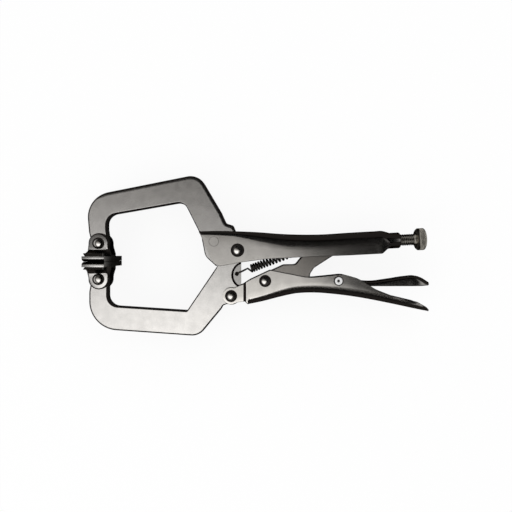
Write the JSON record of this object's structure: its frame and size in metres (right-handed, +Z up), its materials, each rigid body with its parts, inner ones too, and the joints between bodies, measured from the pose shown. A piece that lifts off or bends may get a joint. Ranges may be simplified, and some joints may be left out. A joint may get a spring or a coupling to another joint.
{
  "type": "locking c-clamp",
  "caption": "Locking C-clamp of plated steel: forged C arms with swivel pads, folded channel handles, toggle link, release lever and knurled adjusting screw",
  "frame": {"origin": "bottom centre of the box round the closed clamp, which lies on its side", "axes": "+X from the pads to the adjusting knob, +Y from the moving jaw to the fixed jaw, +Z up along the rivets"},
  "size_m": [0.2786, 0.1286, 0.05],
  "materials": {
    "satin_nickel_plate": "satin nickel plate over pressed sheet steel",
    "forged_plated_steel": "satin nickel plate over forged steel",
    "polished_rivet_steel": "polished cold-headed steel",
    "dark_spring_wire": "dark drawn spring wire",
    "turned_plated_steel": "plated steel, turned and knurled"
  },
  "bodies": {
    "clamp_body": {"upper_handle": "satin_nickel_plate", "fixed_jaw": "forged_plated_steel", "fixed_jaw_rivet": "satin_nickel_plate", "main_pivot_rivet": "polished_rivet_steel", "fixed_pad_rivet": "polished_rivet_steel", "spring_anchor_pin": "polished_rivet_steel", "return_spring": "dark_spring_wire"},
    "moving_jaw_body": {"moving_jaw": "forged_plated_steel", "moving_pad_rivet": "polished_rivet_steel"},
    "lower_handle_body": {"lower_handle": "satin_nickel_plate", "jaw_handle_rivet": "polished_rivet_steel", "toggle_link_rivet": "polished_rivet_steel", "release_lever_rivet": "polished_rivet_steel"},
    "toggle_link_body": {"toggle_link": "satin_nickel_plate"},
    "release_lever_body": {"release_lever": "satin_nickel_plate"},
    "screw_body": {"adjusting_screw": "turned_plated_steel"},
    "fixed_pad_body": {"fixed_jaw_pad": "forged_plated_steel"},
    "moving_pad_body": {"moving_jaw_pad": "forged_plated_steel"}
  },
  "joints": [
    {"name": "jaw_hinge", "type": "hinge", "parent": "clamp_body", "child": "moving_jaw_body", "pos_m": [-0.0169, 0.0047, 0.025], "axis": [0, 0, 1], "range_deg": [0, 21], "deforming": ["return_spring"]},
    {"name": "handle_hinge", "type": "hinge", "parent": "moving_jaw_body", "child": "lower_handle_body", "pos_m": [-0.0221, -0.0325, 0.025], "axis": [0, 0, 1], "range_deg": [-63.5, 0]},
    {"name": "link_hinge", "type": "hinge", "parent": "lower_handle_body", "child": "toggle_link_body", "pos_m": [0.0055, -0.0202, 0.025], "axis": [0, 0, 1], "range_deg": [0, 64.5]},
    {"name": "lever_hinge", "type": "hinge", "parent": "lower_handle_body", "child": "release_lever_body", "pos_m": [0.0649, -0.0202, 0.025], "axis": [0, 0, 1], "range_deg": [-9, 0]},
    {"name": "screw_turn", "type": "hinge", "parent": "clamp_body", "child": "screw_body", "pos_m": [0.1231, 0.0133, 0.025], "axis": [0.9987, 0.0506, 0], "continuous": true},
    {"name": "fixed_pad_swivel", "type": "hinge", "parent": "clamp_body", "child": "fixed_pad_body", "pos_m": [-0.1297, 0.0103, 0.025], "axis": [0, 0, 1], "range_deg": [0, 10.6]},
    {"name": "moving_pad_swivel", "type": "hinge", "parent": "moving_jaw_body", "child": "moving_pad_body", "pos_m": [-0.1297, -0.0189, 0.025], "axis": [0, 0, 1], "range_deg": [-10.6, 0]}
  ],
  "couplings": [
    {"joint": "handle_hinge", "follows": "jaw_hinge", "ratio": -3.003},
    {"joint": "link_hinge", "follows": "jaw_hinge", "ratio": 3.056},
    {"joint": "fixed_pad_swivel", "follows": "jaw_hinge", "ratio": 0.5},
    {"joint": "moving_pad_swivel", "follows": "jaw_hinge", "ratio": -0.5}
  ]
}
